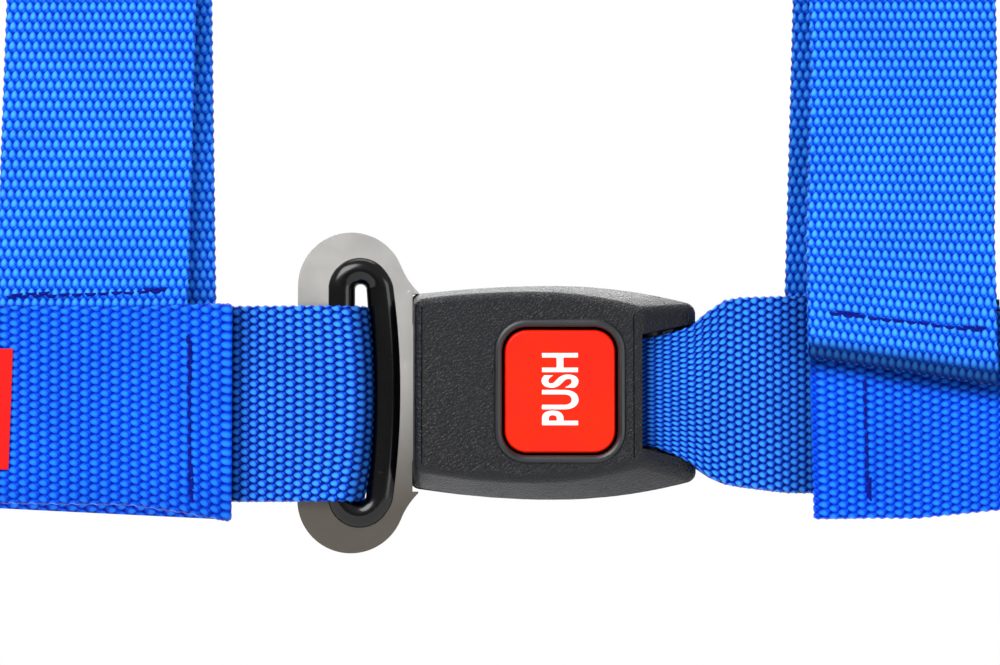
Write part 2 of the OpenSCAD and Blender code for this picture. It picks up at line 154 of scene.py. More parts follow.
key = soft_panel("key_panel", (-0.55, -0.95, 0.75), (0, 0, 0), (0.8, 0.6), 15)
fill = soft_panel("fill_panel", (0.9, -0.9, 0.15), (0, 0, 0.02), (0.5, 0.9), 5)
top = soft_panel("top_panel", (0.0, 0.15, 1.1), (0, 0, 0.1), (1.0, 0.6), 10)
rear = soft_panel("rear_panel", (0.0, 1.1, 0.72), (0, 0, 0.05), (1.5, 0.5), 12)

world = bpy.data.worlds.new("studio")
world.use_nodes = True
bpy.context.scene.world = world
sky = world.node_tree.nodes["Background"]
facing = node(world.node_tree, "TexCoord").outputs["Generated"]
height = node(world.node_tree, "SeparateXYZ", {0: facing}).outputs["Z"]
level = node(world.node_tree, "MapRange", {0: height, 1: -0.15, 2: 0.35, 3: 0.12, 4: 0.60}).outputs[0]
to_camera = node(world.node_tree, "LightPath").outputs["Is Camera Ray"]
seen = node(world.node_tree, "Mix", {"Factor": to_camera, "A": level, "B": 1.0})
world.node_tree.links.new(seen.outputs["Result"], sky.inputs["Strength"])
sky.inputs["Color"].default_value = (1, 1, 1, 1)
bpy.context.scene.view_settings.view_transform = "Standard"
bpy.context.scene.view_settings.look = "None"

bpy.ops.mesh.primitive_circle_add(vertices=96, radius=1.0, fill_type="NGON", location=(0, 0, -0.13))
floor = bpy.context.object
floor.name = "floor"
print("lights:", [o.name for o in (key, fill, top, rear)])

# %% [markdown]
# The weave. Each warp yarn comes up for one row and dives for the next, so the surface is a
# brickwork of egg-shaped beads, wide at one end, about 2 mm apart across the strap and 2.5 mm
# apart along it. A strap's UV map counts beads, one unit each way, so one shader group can draw
# the same beads on every strap. The function below is the same pattern for the geometry.

# %% The bead pattern
ROW = 2.54
BEAD = 2.02
BEAD_LENGTH = 0.64
BEAD_WIDTH = 0.53
TAPER = 0.34
RELIEF = 0.6


def bead_height(u, v):
    """Height from 0 to 1 of the woven surface at u rows and v beads."""
    height = np.zeros_like(u)
    for shift in (0.0, 1.0):
        along = (np.mod(u + shift, 2.0) - 1.0) / BEAD_LENGTH
        across = (np.mod(v + 0.5 * shift, 1.0) - 0.5) / (BEAD_WIDTH * (1 - TAPER * along))
        height = np.maximum(height, 1 - along**2 - across**2)
    return np.sqrt(np.clip(height, 0, 1))


weave, given, put = start_group(
    "Woven beads",
    [("UV", "Vector", None)],
    [("Height", "Float"), ("Gap", "Float"), ("Fibre", "Float")],
)
split = node(weave, "SeparateXYZ", {0: given["UV"]})
u_rows, v_beads = split.outputs[0], split.outputs[1]
domes = []
for shift in (0.0, 1.0):
    along = math_node(weave, "ADD", u_rows, shift)
    along = math_node(weave, "FLOORED_MODULO", along, 2.0)
    along = math_node(weave, "DIVIDE", math_node(weave, "SUBTRACT", along, 1.0), BEAD_LENGTH)
    across = math_node(weave, "ADD", v_beads, 0.5 * shift)
    across = math_node(weave, "FLOORED_MODULO", across, 1.0)
    taper = math_node(weave, "SUBTRACT", 1.0, math_node(weave, "MULTIPLY", along, TAPER))
    reach = math_node(weave, "MULTIPLY", taper, BEAD_WIDTH)
    across = math_node(weave, "DIVIDE", math_node(weave, "SUBTRACT", across, 0.5), reach)
    round_part = math_node(weave, "ADD", math_node(weave, "POWER", along, 2.0),
                           math_node(weave, "POWER", across, 2.0))
    domes.append(math_node(weave, "SUBTRACT", 1.0, round_part, clamp=True))
dome = math_node(weave, "SQRT", math_node(weave, "MAXIMUM", domes[0], domes[1]))
weave.links.new(dome, put["Height"])
gap = node(weave, "MapRange", {0: dome, 1: 0.75, 2: 0.2}, interpolation_type="SMOOTHSTEP")
weave.links.new(gap.outputs[0], put["Gap"])
stretch = node(weave, "Mapping", {0: given["UV"], 3: (1.6, 9.0, 1.0)})
strand = node(weave, "TexNoise", {0: stretch.outputs[0], "Scale": 1.0, "Detail": 2.0})
weave.links.new(strand.outputs[0], put["Fibre"])
print("weave group:", len(weave.nodes), "nodes")

# %% [markdown]
# The webbing finishes share that group. The shader paints shade into the gaps, paints a highlight
# on each bead's crown, a little stronger on one side than the other, and adds the yarn's fine
# fibres. On straps that stay flat the group's height also drives a bump. Each strap carries a
# painted "shade" value per point, lower where the cloth dives into a slot, lies under another
# layer or faces down.

# %% Blue webbing
# Shift of the second bead sample, which puts the painted highlight on one side of each bead.
LIT_SIDE = (-0.22, 0.16, 0.0)


def make_webbing(name, bumped, deep, body, light, gap_gain):
    material, tree, shader = start_material(name, 0.46, Specular_IOR_Level=0.36)
    shader.inputs["Specular Tint"].default_value = (*srgb(70, 150, 255), 1)
    uv = node(tree, "UVMap", uv_map="UVMap").outputs[0]
    group = node(tree, "Group", node_tree=weave)
    tree.links.new(uv, group.inputs["UV"])
    moved = node(tree, "Mapping", {0: uv, 1: LIT_SIDE})
    beside = node(tree, "Group", node_tree=weave)
    tree.links.new(moved.outputs[0], beside.inputs["UV"])
    # Painted highlight: each bead's crown is mixed towards the light blue, more on the side LIT_SIDE shifts
    # to.
    crown = math_node(tree, "MULTIPLY", group.outputs["Height"], beside.outputs["Height"])
    lit = node(tree, "MapRange", {0: crown, 1: 0.3, 2: 0.95})
    color = blend_colors(tree, lit.outputs[0], body, light)
    # Painted shade: the gaps between the beads are mixed towards the deep blue.
    gaps = math_node(tree, "MULTIPLY", group.outputs["Gap"], gap_gain, clamp=True)
    color = blend_colors(tree, gaps, color, deep)
    wide = node(tree, "TexNoise", {0: uv, "Scale": 0.11, "Detail": 2.0}).outputs[0]
    cloud = node(tree, "MapRange", {0: wide, 1: 0.35, 2: 0.65, 3: 0.9, 4: 1.06}).outputs[0]
    # Painted shade: the strap's "shade" attribute darkens the cloth in slots, under other layers and where
    # it faces down.
    shade = node(tree, "Attribute", attribute_name="shade").outputs["Fac"]
    shade = math_node(tree, "MULTIPLY", cloud, shade)
    gray = node(tree, "CombineColor", {0: shade, 1: shade, 2: shade}).outputs[0]
    tree.links.new(blend_colors(tree, 1.0, color, gray, "MULTIPLY"), shader.inputs["Base Color"])
    rough = node(tree, "MapRange", {0: group.outputs["Fibre"], 1: 0.3, 2: 0.7, 3: 0.38, 4: 0.58})
    tree.links.new(rough.outputs[0], shader.inputs["Roughness"])
    height = math_node(tree, "MULTIPLY", group.outputs["Fibre"], 0.14)
    if bumped:
        beads = math_node(tree, "MULTIPLY", group.outputs["Height"], 0.7)
        height = math_node(tree, "ADD", height, beads)
    bump = node(tree, "Bump", {"Height": height, "Strength": 0.9 if bumped else 0.5,
                               "Distance": RELIEF * MM})
    tree.links.new(bump.outputs[0], shader.inputs["Normal"])
    return material


def webbing_pair(name, *colors, gap_gain=1.0):
    """The finish for modelled beads and the one for flat cloth, in the same three blues."""
    return (make_webbing(name + " webbing", False, *colors, gap_gain),
            make_webbing("flat " + name + " webbing", True, *colors, gap_gain))


# Painted light: the three pairs are one webbing. The shoulder copy is lighter, for straps that face the
# light, and the loop copy darker with deeper gap shade, for the curved loops.
lap_webbing = webbing_pair("lap", srgb(0, 22, 134), srgb(4, 52, 200), srgb(38, 124, 250))
lit_shoulder_webbing = webbing_pair("shoulder", srgb(0, 32, 156), srgb(6, 70, 210), srgb(66, 158, 252))
shaded_loop_webbing = webbing_pair("loop", srgb(0, 0, 84), srgb(0, 32, 178), srgb(60, 150, 252), gap_gain=1.8)
print("webbing materials:", sum("webbing" in m.name for m in bpy.data.materials))

# %% [markdown]
# Three groups serve the hard finishes. Grain is the fine leather texture moulded into the
# buckle's shells. Handling is the cloudy film and the few specks that any touched surface has.
# Streaks are the faint lines left in rolled or brushed steel. Each gives out masks and heights
# only, and each material sets how much of them it wants.

# %% Finish groups
grain, given, put = start_group(
    "Leather grain", [("Place", "Vector", None), ("Cells", "Float", 900.0)], [("Height", "Float")])
warp_it = node(grain, "TexNoise", {0: given["Place"], "Scale": 700.0, "Detail": 2.0})
bent = node(grain, "VectorMath", {0: warp_it.outputs[1], 1: (0.9 * MM,) * 3}, operation="MULTIPLY")
bent = node(grain, "VectorMath", {0: given["Place"], 1: bent.outputs[0]}, operation="ADD")
cells = node(grain, "TexVoronoi", {0: bent.outputs[0], "Scale": given["Cells"]}, feature="SMOOTH_F1")
crease = node(grain, "TexVoronoi", {0: bent.outputs[0], "Scale": given["Cells"]},
              feature="DISTANCE_TO_EDGE").outputs[0]
crease = node(grain, "MapRange", {0: crease, 1: 0.0, 2: 0.22}).outputs[0]
pebble = math_node(grain, "SUBTRACT", crease, math_node(grain, "MULTIPLY", cells.outputs[0], 0.6))
grain.links.new(pebble, put["Height"])

handling, given, put = start_group(
    "Handling", [("Place", "Vector", None), ("Cloud size", "Float", 60.0)],
    [("Cloud", "Float"), ("Specks", "Float")])
cloud = node(handling, "TexNoise", {0: given["Place"], "Scale": given["Cloud size"], "Detail": 4.0})
cloud = node(handling, "MapRange", {0: cloud.outputs[0], 1: 0.35, 2: 0.65})
speck = node(handling, "TexNoise", {0: given["Place"], "Scale": 900.0, "Detail": 2.0})
speck = node(handling, "MapRange", {0: speck.outputs[0], 1: 0.66, 2: 0.74})
handling.links.new(cloud.outputs[0], put["Cloud"])
handling.links.new(speck.outputs[0], put["Specks"])

streaks, given, put = start_group(
    "Rolling streaks", [("Place", "Vector", None), ("Stretch", "Vector", (60.0, 900.0, 900.0))],
    [("Height", "Float")])
pulled = node(streaks, "VectorMath", {0: given["Place"], 1: given["Stretch"]}, operation="MULTIPLY")
lines = node(streaks, "TexNoise", {0: pulled.outputs[0], "Scale": 1.0, "Detail": 3.0})
streaks.links.new(lines.outputs[0], put["Height"])
print("groups:", [g.name for g in (grain, handling, streaks)])

# %% [markdown]
# The hard finishes: grained and smooth plastics and five steels. One function makes them all from
# two close colours, a gloss that varies with handling and a bump group. The tongue's steel is
# also dimmer towards its lower end, which faces away from the light.

# %% Hard finishes
def finish_with(name, color, second, roughness, rough_spread=0.1, bump=None, **sockets):
    """A hard finish: color with clouds of second, uneven gloss and an optional bump group."""
    material, tree, shader = start_material(name, roughness, **sockets)
    place = node(tree, "TexCoord").outputs["Object"]
    marks = node(tree, "Group", node_tree=handling)
    tree.links.new(place, marks.inputs["Place"])
    tint = blend_colors(tree, marks.outputs["Cloud"], color, second)
    tree.links.new(tint, shader.inputs["Base Color"])
    gloss = node(tree, "MapRange", {0: marks.outputs["Cloud"], 3: roughness - rough_spread / 2,
                                    4: roughness + rough_spread / 2})
    speckled = math_node(tree, "MULTIPLY", marks.outputs["Specks"], 0.12)
    tree.links.new(math_node(tree, "ADD", gloss.outputs[0], speckled), shader.inputs["Roughness"])
    if bump:
        group, strength, depth, extra = bump
        relief = node(tree, "Group", node_tree=group)
        tree.links.new(place, relief.inputs["Place"])
        for socket, value in extra.items():
            relief.inputs[socket].default_value = value
        raised = node(tree, "Bump", {"Height": relief.outputs["Height"], "Strength": strength,
                                     "Distance": depth * MM})
        tree.links.new(raised.outputs[0], shader.inputs["Normal"])
    return material


def dimmer_below(material, low, high, tint):
    """Multiplies the colour with tint below the height low, and less and less up to high."""
    tree = material.node_tree
    place = node(tree, "SeparateXYZ", {0: node(tree, "TexCoord").outputs["Object"]})
    tone = node(tree, "MapRange", {0: place.outputs["Z"], 1: low * MM, 2: high * MM},
                interpolation_type="SMOOTHSTEP")
    base_color = tree.nodes["Principled BSDF"].inputs["Base Color"]
    plain = base_color.links[0].from_socket
    dim = blend_colors(tree, 1.0, plain, tint, "MULTIPLY")
    tree.links.new(blend_colors(tree, tone.outputs[0], dim, plain), base_color)
    return material


shell_plastic = finish_with("grained charcoal plastic", srgb(9, 11, 16), srgb(12, 15, 20), 0.44, 0.08,
                            (grain, 0.7, 0.15, {"Cells": 1150.0}), Specular_IOR_Level=0.33)
# Painted shade: near-black plastic for the plate that fills the gap round the button.
gap_shade_plastic = finish_with("unlit black plastic", srgb(3, 3, 4), srgb(6, 6, 7), 0.8, 0.1,
                           (streaks, 0.1, 0.03, {}), Specular_IOR_Level=0.1)
smooth_plastic = finish_with("smooth black plastic", srgb(20, 21, 24), srgb(28, 29, 33), 0.38, 0.12,
                             (streaks, 0.15, 0.05, {}))
button_plastic = finish_with("red button plastic", srgb(250, 38, 0), srgb(242, 30, 0), 0.38, 0.08,
                             (grain, 0.12, 0.03, {"Cells": 2200.0}), Specular_IOR_Level=0.2)
print_white = finish_with("white print", srgb(245, 243, 240), srgb(232, 230, 228), 0.5, 0.1)
liner_plastic = finish_with("glossy black moulding", srgb(3, 4, 7), srgb(6, 7, 10), 0.17, 0.07,
                            (streaks, 0.05, 0.05, {}), Specular_IOR_Level=0.36)
pale_plastic = finish_with("pale acetal plastic", srgb(226, 222, 212), srgb(214, 209, 198), 0.42, 0.1)
tongue_steel = dimmer_below(
    finish_with("tongue steel", srgb(216, 214, 211), srgb(194, 191, 187), 0.34, 0.12,
                (streaks, 0.22, 0.04, {"Stretch": (900.0, 900.0, 120.0)}), Metallic=1.0),
    -32, 12, srgb(132, 127, 121))
zinc_steel = finish_with("zinc plated steel", srgb(188, 192, 196), srgb(160, 166, 174), 0.3, 0.14,
                         (streaks, 0.12, 0.04, {}), Metallic=1.0)
spring_steel = finish_with("spring steel", srgb(120, 122, 128), srgb(92, 94, 102), 0.3, 0.1,
                           (streaks, 0.1, 0.03, {}), Metallic=1.0)
black_steel = finish_with("black coated steel", srgb(22, 22, 24), srgb(34, 34, 36), 0.42, 0.14,
                          (grain, 0.35, 0.05, {"Cells": 1600.0}), Metallic=0.25)
print("hard finishes:", len(bpy.data.materials))

# %% [markdown]
# Three cloth finishes are left: the thread of the seams, the label's fine red ribbon and the
# keeper's ribbed elastic. The ribbon and the elastic are woven so finely that lines of bump on
# their own coordinates are enough.

# %% Cloth finishes
def ribbed(name, color, second, ribs, strength, roughness=0.7, **sockets):
    material, tree, shader = start_material(name, roughness, **sockets)
    place = node(tree, "TexCoord").outputs["Object"]
    cloud = node(tree, "TexNoise", {0: place, "Scale": 300.0, "Detail": 3.0}).outputs[0]
    waves = [node(tree, "TexWave", {0: place, "Scale": ribs, "Distortion": 0.4, "Detail": 1.0},
                  bands_direction=axis).outputs[1] for axis in "XZ"]
    cross = math_node(tree, "MULTIPLY", *waves)
    tree.links.new(blend_colors(tree, math_node(tree, "MULTIPLY", cloud, cross), second, color),
                   shader.inputs["Base Color"])
    raised = node(tree, "Bump", {"Height": cross, "Strength": strength, "Distance": 0.15 * MM})
    tree.links.new(raised.outputs[0], shader.inputs["Normal"])
    return material


thread = ribbed("navy thread", srgb(4, 44, 184), srgb(0, 16, 112), 900.0, 0.6, 0.6, Specular_IOR_Level=0.1)
ribbon = ribbed("red ribbon", srgb(250, 22, 6), srgb(228, 12, 3), 700.0, 0.3, 0.65, Specular_IOR_Level=0.2)
elastic = ribbed("black elastic", srgb(26, 26, 28), srgb(10, 10, 12), 320.0, 0.9, 0.8, Sheen_Weight=0.3)
print("cloth finishes ready")

# %% [markdown]
# A few modelling helpers: a block between two corners, cuts along a plane, picking points or
# edges by place, and running one edit-mode operator on what is picked.

# %% Modelling helpers
def select_only(piece):
    bpy.ops.object.select_all(action="DESELECT")
    piece.select_set(True)
    bpy.context.view_layer.objects.active = piece


def block(name, low, high):
    """A cube primitive between two corners, in millimetres."""
    bpy.ops.object.select_all(action="DESELECT")
    middle = [(a + b) / 2 * MM for a, b in zip(low, high)]
    size = [(b - a) * MM for a, b in zip(low, high)]
    bpy.ops.mesh.primitive_cube_add(size=1, location=middle, scale=size)
    made = bpy.context.object
    made.name = made.data.name = name
    bpy.ops.object.transform_apply(location=True, rotation=True, scale=True)
    return made


def bisect_at(piece, axis, places):
    select_only(piece)
    bpy.ops.object.mode_set(mode="EDIT")
    for place in places:
        bpy.ops.mesh.select_all(action="SELECT")
        point, normal = [0, 0, 0], [0, 0, 0]
        point[axis], normal[axis] = place * MM, 1
        bpy.ops.mesh.bisect(plane_co=point, plane_no=normal)
    bpy.ops.mesh.select_all(action="DESELECT")
    bpy.ops.object.mode_set(mode="OBJECT")


def pick_none(piece):
    for part in (piece.data.polygons, piece.data.edges, piece.data.vertices):
        part.foreach_set("select", [False] * len(part))


def pick_points(piece, test):
    """Selects the points whose place in millimetres passes test, in object mode."""
    pick_none(piece)
    for v in piece.data.vertices:
        v.select = test(*(c / MM for c in v.co))


def pick_edges(piece, test):
    """Selects the edges whose two ends in millimetres pass test together."""
    pick_none(piece)
    points = piece.data.vertices
    for e in piece.data.edges:
        a, b = (tuple(c / MM for c in points[i].co) for i in e.vertices)
        e.select = test(a, b)


def in_edit(piece, operator, mode="VERT", **settings):
    select_only(piece)
    bpy.ops.object.mode_set(mode="EDIT")
    bpy.ops.mesh.select_mode(type=mode)
    operator(**settings)
    bpy.ops.object.mode_set(mode="OBJECT")


def bevel_picked(piece, radius, segments):
    in_edit(piece, bpy.ops.mesh.bevel, "EDGE", offset=radius * MM, segments=segments, profile=0.5,
            affect="EDGES", clamp_overlap=False)


print("modelling helpers ready")

# %% [markdown]
# The hard parts that already have their true shape only lack eased edges: a stamped or moulded
# edge is never knife sharp, and without a small round it catches no light. So each is copied from
# the frame, its loose triangles are merged and dissolved into clean faces, and a Bevel modifier
# rounds what is sharper than 30 degrees. The copy then stands for its node. The base and the
# latch frame are also drawn in a little, to stay inside the front shell's outline.

# %% Ease the edges
def apply_all(piece):
    select_only(piece)
    for modifier in list(piece.modifiers):
        bpy.ops.object.modifier_apply(modifier=modifier.name)


def round_edges(piece, width, segments=3):
    bevel = piece.modifiers.new("eased", "BEVEL")
    bevel.width = width * MM
    bevel.segments = segments
    bevel.limit_method = "ANGLE"
    bevel.angle_limit = math.radians(30)
    apply_all(piece)


def settle(piece, body, material, slot, *nodes):
    """Gives a finished piece its smooth shading, material, body and the nodes it stands for."""
    select_only(piece)
    bpy.ops.object.shade_smooth_by_angle(angle=math.radians(32))
    even = piece.modifiers.new("even normals", "WEIGHTED_NORMAL")
    even.keep_sharp = True
    apply_all(piece)
    piece.data.materials.clear()
    piece.data.materials.append(material)
    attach(piece, body)
    if nodes:
        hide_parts(*nodes)
    return piece


SHELL_ROUND = 1.9
body_of = {n: body for body, names in frame["record"]["behaviour"]["bodies"].items() for n in names}


def eased_copy(source, width, material, slot, segments=3, corner=0.0):
    select_only(frame["nodes"][source])
    bpy.ops.object.duplicate()
    piece = bpy.context.object
    piece.name = piece.data.name = source + "_eased"
    for key_name in list(piece.keys()):
        del piece[key_name]
    piece.parent = None
    bpy.ops.object.mode_set(mode="EDIT")
    bpy.ops.mesh.select_all(action="SELECT")
    bpy.ops.mesh.remove_doubles(threshold=0.005 * MM)
    bpy.ops.mesh.dissolve_limited(angle_limit=math.radians(1.0))
    bpy.ops.object.mode_set(mode="OBJECT")
    if corner:
        pick_edges(piece, lambda a, b: abs(a[1] - b[1]) > 3 and min(abs(a[0]), abs(b[0])) > 36
                   and min(abs(a[2]), abs(b[2])) > 20)
        bevel_picked(piece, corner, 5)
    if width:
        round_edges(piece, width, segments)
    return settle(piece, body_of[source], material, slot, source)


eased_copy("tongue_plate", 0.4, tongue_steel, "satin_steel")
base = eased_copy("buckle_base", 0.25, smooth_plastic, "charcoal_plastic", 2, corner=SHELL_ROUND)


HALF_LENGTH, HALF_HEIGHT, BULGE = 36.5, 27.6, 2.8


def end_scale(x, drop):
    """How tall the buckle is at x beside its middle, where its ends drop by drop millimetres."""
    return 1 - drop / HALF_HEIGHT * (x / HALF_LENGTH) ** 2


def end_trim(x, z):
    """How much more than the plain bulge the buckle's outline is drawn in towards its ends."""
    return end_scale(x, 5.0 if x > 0 else 2.3 if z > 0 else 3.4) / end_scale(x, BULGE)


for v in base.data.vertices:
    x, above = v.co.x / MM, v.co.z > 0
    v.co.z *= end_trim(x, v.co.z) if x > 0 else end_scale(x, -0.828 if above else 0.3312)
    if x < -33.5:
        v.co.x -= 0.6 * MM
for source, width, material, slot in (
    # Painted shade: the webbing bar is zinc steel by its slot but gets the black finish, to read as shade
    # in the buckle's mouth.
    ("webbing_bar", 0.3, black_steel, "zinc_steel"),
    ("buckle_screws", 0.12, zinc_steel, "zinc_steel"), ("leaf_rivets", 0.12, zinc_steel, "zinc_steel"),
    ("latch_leaf", 0.1, spring_steel, "spring_steel"), ("ejector", 0.3, pale_plastic, "natural_plastic"),
):
    eased_copy(source, width, material, slot, 2)
# Painted shade: the latch frame, zinc steel by its slot, also gets the black finish, as shade in the mouth.
latch_frame = eased_copy("latch_frame", 0.2, black_steel, "zinc_steel", 2)
for v in latch_frame.data.vertices:
    if abs(v.co.z) > 20 * MM and v.co.x > 12 * MM:
        v.co.z *= 0.93
for source, material in (("button_springs", spring_steel), ("ejector_spring", spring_steel)):
    frame["nodes"][source].data.materials.clear()
    frame["nodes"][source].data.materials.append(material)

# %% [markdown]
# The buckle's front shell. It is a block with long bulged sides that narrows to a flat front
# face, slopes away towards the webbing and is cut by a V-shaped mouth. A cube is bisected into
# columns, each column is scaled for the bulge, and the front face is shrunk and moved.

# %% Block, columns and front face
FRONT_Y, SPLIT_Y, EDGE_Y = -23.0, -9.0, -12.0
FACE_LENGTH, FACE_SHRINK, FACE_SHIFT = 57.6, 0.872, (-6.9, 0, 1.2)

cover = block("buckle_front_shell", (-HALF_LENGTH, FRONT_Y, -HALF_HEIGHT),
              (HALF_LENGTH, SPLIT_Y, HALF_HEIGHT))
columns_x = [-32, -26, -20, -13.5, -7, 0, 7, 13.5, 20, 26, 32]
bisect_at(cover, 0, columns_x)
bisect_at(cover, 1, [EDGE_Y])
for x in [-HALF_LENGTH, *columns_x, HALF_LENGTH]:
    for sign in (1, -1):
        pick_points(cover, lambda px, py, pz: abs(px - x) < 0.01 and pz * sign > 0)
        size = end_scale(x, BULGE) * end_trim(x, sign)
        in_edit(cover, bpy.ops.transform.resize, value=(1, 1, size), center_override=(0, 0, 0))
pick_points(cover, lambda x, y, z: y < FRONT_Y + 0.01)
in_edit(cover, bpy.ops.transform.resize, center_override=(0, 0, 0),
        value=(FACE_LENGTH / (2 * HALF_LENGTH), 1, FACE_SHRINK))
pick_points(cover, lambda x, y, z: y < FRONT_Y + 0.01)
in_edit(cover, bpy.ops.transform.translate, value=[c * MM for c in FACE_SHIFT])
print("shell block:", len(cover.data.vertices), "points")

# %% [markdown]
# The shell's edges are rounded next: the outline of the front face and the four upright corners.
# The column lines across the flat face stay as they are.

# %% Rounds of the front shell
def on_front(p):
    return p[1] < FRONT_Y + 0.01


def outline_edge(a, b):
    """Whether a front-face edge belongs to the face's outline, not to a column line."""
    return on_front(a) and on_front(b) and not (abs(a[0] - b[0]) < 0.5 and abs(a[2] - b[2]) > 10 and
                                                -35 < a[0] < 21)


def corner_edge(a, b):
    return abs(a[1] - b[1]) > 1 and abs(a[2]) > 15 and abs(b[2]) > 15 and (
        min(a[0], b[0]) < -35 or max(a[0], b[0]) > 36)


pick_edges(cover, lambda a, b: outline_edge(a, b) or corner_edge(a, b))
bevel_picked(cover, SHELL_ROUND, 5)
print("rounded shell:", len(cover.data.polygons), "faces")

# %% [markdown]
# The mouth, the hollows, the button's opening and the tongue's slot are cut last, so that the big
# rounds stay clean. The hollows keep the wall about 2 mm thick.

# %% Cuts in the front shell
def cut(piece, cutter):
    """Takes cutter away from piece. The fast solver copes with the close rounds at the corners."""
    knife = piece.modifiers.new("cut", "BOOLEAN")
    knife.operation = "DIFFERENCE"
    knife.solver = "FAST"
    knife.object = cutter
    apply_all(piece)
    bpy.data.objects.remove(cutter, do_unlink=True)


def rounded_block(name, low, high, radius, segments=8):
    """A block whose four edges along the depth are rounded."""
    made = block(name, low, high)
    pick_edges(made, lambda a, b: abs(a[1] - b[1]) > 0.5)
    bevel_picked(made, radius, segments)
    return made


def button_block(name, gap, near, far, radius, segments=8):
    """A block with the button's outline, larger by gap, from the depth near to the depth far."""
    return rounded_block(name, (BUTTON_X - BUTTON_L / 2 - gap, near, -BUTTON_H / 2 - gap),
                         (BUTTON_X + BUTTON_L / 2 + gap, far, BUTTON_H / 2 + gap), radius, segments)


BUTTON_X, BUTTON_L, BUTTON_H, BUTTON_R = 1.3, 28.2, 31.4, 5.6
GAP = 0.8
MOUTH_IN, MOUTH_OUT = 14.6, 18.8
mouth = block("mouth", (22.3, -30, -MOUTH_IN), (40, 5, MOUTH_IN))
pick_points(mouth, lambda x, y, z: x > 30)
in_edit(mouth, bpy.ops.transform.resize, value=(1, 1, MOUTH_OUT / MOUTH_IN), center_override=(0, 0, 0))
cut(cover, mouth)
cut(cover, block("hollow", (-34.6, -15.6, -21.0), (27, -5, 21.0)))
cut(cover, block("front_hollow", (-32.0, -20.9, -18.0), (19.0, -5, 18.6)))
cut(cover, button_block("button_opening", GAP, -30, -5, BUTTON_R + GAP))
cut(cover, block("tongue_slot", (-40, -13.6, -18.5), (-30, -5, 18.5)))
settle(cover, "buckle_half", shell_plastic, "charcoal_plastic", "buckle_cover")
print("front shell:", len(cover.data.polygons), "faces")

# %% [markdown]
# The opening has a rolled lip, a thin bead of plastic that catches the light. A plane the size of
# the opening gets round corners, its outline becomes a curve, the curve gets a round section and
# is made a mesh again. A near-black plate of painted shade lies just behind and closes the gap
# round the button, where shade falls.

# %% Rolled lip
def outline_bead(name, size_x, size_z, radius, center, bead):
    bpy.ops.object.select_all(action="DESELECT")
    bpy.ops.mesh.primitive_plane_add(size=1, location=[c * MM for c in center],
                                     rotation=(math.pi / 2, 0, 0))
    ring = bpy.context.object
    ring.name = name
    ring.scale = (size_x * MM, size_z * MM, 1)
    bpy.ops.object.transform_apply(location=False, rotation=True, scale=True)
    bpy.ops.object.mode_set(mode="EDIT")
    bpy.ops.mesh.select_all(action="SELECT")
    bpy.ops.mesh.bevel(offset=radius * MM, segments=8, profile=0.5, affect="VERTICES")
    bpy.ops.mesh.select_all(action="SELECT")
    bpy.ops.mesh.delete(type="ONLY_FACE")
    bpy.ops.object.mode_set(mode="OBJECT")
    bpy.ops.object.convert(target="CURVE")
    ring.data.bevel_depth = bead * MM
    ring.data.bevel_resolution = 3
    bpy.ops.object.convert(target="MESH")
    bpy.ops.object.transform_apply(location=True, rotation=True, scale=True)
    return bpy.context.object


LIP_OUT = 2 * GAP + 1.8
lip = outline_bead("opening_lip", BUTTON_L + LIP_OUT, BUTTON_H + LIP_OUT, BUTTON_R + 1.6,
                   (BUTTON_X, FRONT_Y + 0.2, 0), 1.05)
settle(lip, "buckle_half", smooth_plastic, "charcoal_plastic")
# Painted shade: a near-black plate behind the button stands for the shade in the gap round it.
well = rounded_block("button_well", (BUTTON_X - 17.0, -20.8, -18.6), (BUTTON_X + 17.0, -20.0, 18.6), 7.0)
cut(well, button_block("well_hole", 0.05, -22, -18, BUTTON_R, 10))
settle(well, "buckle_half", gap_shade_plastic, "charcoal_plastic")
print("lip:", len(lip.data.polygons), "faces")

# %% [markdown]
# The release button is a block with round corners and an eased front, and two legs behind it
# reach the latch leaf. The word on it is plain and generic, in the built-in letter, made narrow
# and a little heavier.

# %% Release button
BUTTON_Y = -22.55
WORD_LENGTH, WORD_HEIGHT = 18.4, 9.4
cap = button_block("button_cap", 0, BUTTON_Y, -17.0, BUTTON_R, 10)
pick_edges(cap, lambda a, b: a[1] < BUTTON_Y + 0.01 and b[1] < BUTTON_Y + 0.01)
bevel_picked(cap, 0.9, 4)
settle(cap, "button", button_plastic, "red_plastic", "release_button")
legs = block("button_legs", (4.2, -18, -13.0), (7.8, -7.0, 13.0))
cut(legs, block("between_legs", (0, -17.2, -9.5), (12, -5, 9.5)))
round_edges(legs, 0.25, 2)
settle(legs, "button", button_plastic, "red_plastic")

bpy.ops.object.select_all(action="DESELECT")
bpy.ops.object.text_add(location=(0, 0, 0))
word = bpy.context.object
word.name = "button_word"
word.data.body = "PUSH"
word.data.size = 13.4 * MM
word.data.offset = 0.32 * MM
word.data.space_character = 1.04
word.data.extrude = 0.05 * MM
word.data.align_x = "CENTER"
word.data.align_y = "CENTER"
bpy.ops.object.convert(target="MESH")
word = bpy.context.object
span = word.dimensions.copy()
word.scale = (WORD_LENGTH * MM / span.x, WORD_HEIGHT * MM / span.y, 1)
bpy.ops.object.transform_apply(location=False, rotation=False, scale=True)
word.rotation_euler = (math.pi / 2, -math.pi / 2, 0)
bpy.ops.object.transform_apply(location=False, rotation=True, scale=False)
co = np.array([v.co for v in word.data.vertices])
word.location = Vector((BUTTON_X, BUTTON_Y - 0.03, 0.5)) * MM - Vector((co.max(0) + co.min(0)) / 2)
bpy.ops.object.transform_apply(location=True, rotation=False, scale=False)
settle(word, "button", print_white, "red_plastic")
print("word spans", [round(c / MM, 1) for c in word.dimensions], "mm")

# %% [markdown]
# The liner keeps the webbing off the slot's steel edge. It is a fat round bead that runs round
# the slot, bowed towards the buckle. A torus is stretched by moving its two halves apart, the
# long sides are bisected, and the side next to the buckle is bowed row by row.

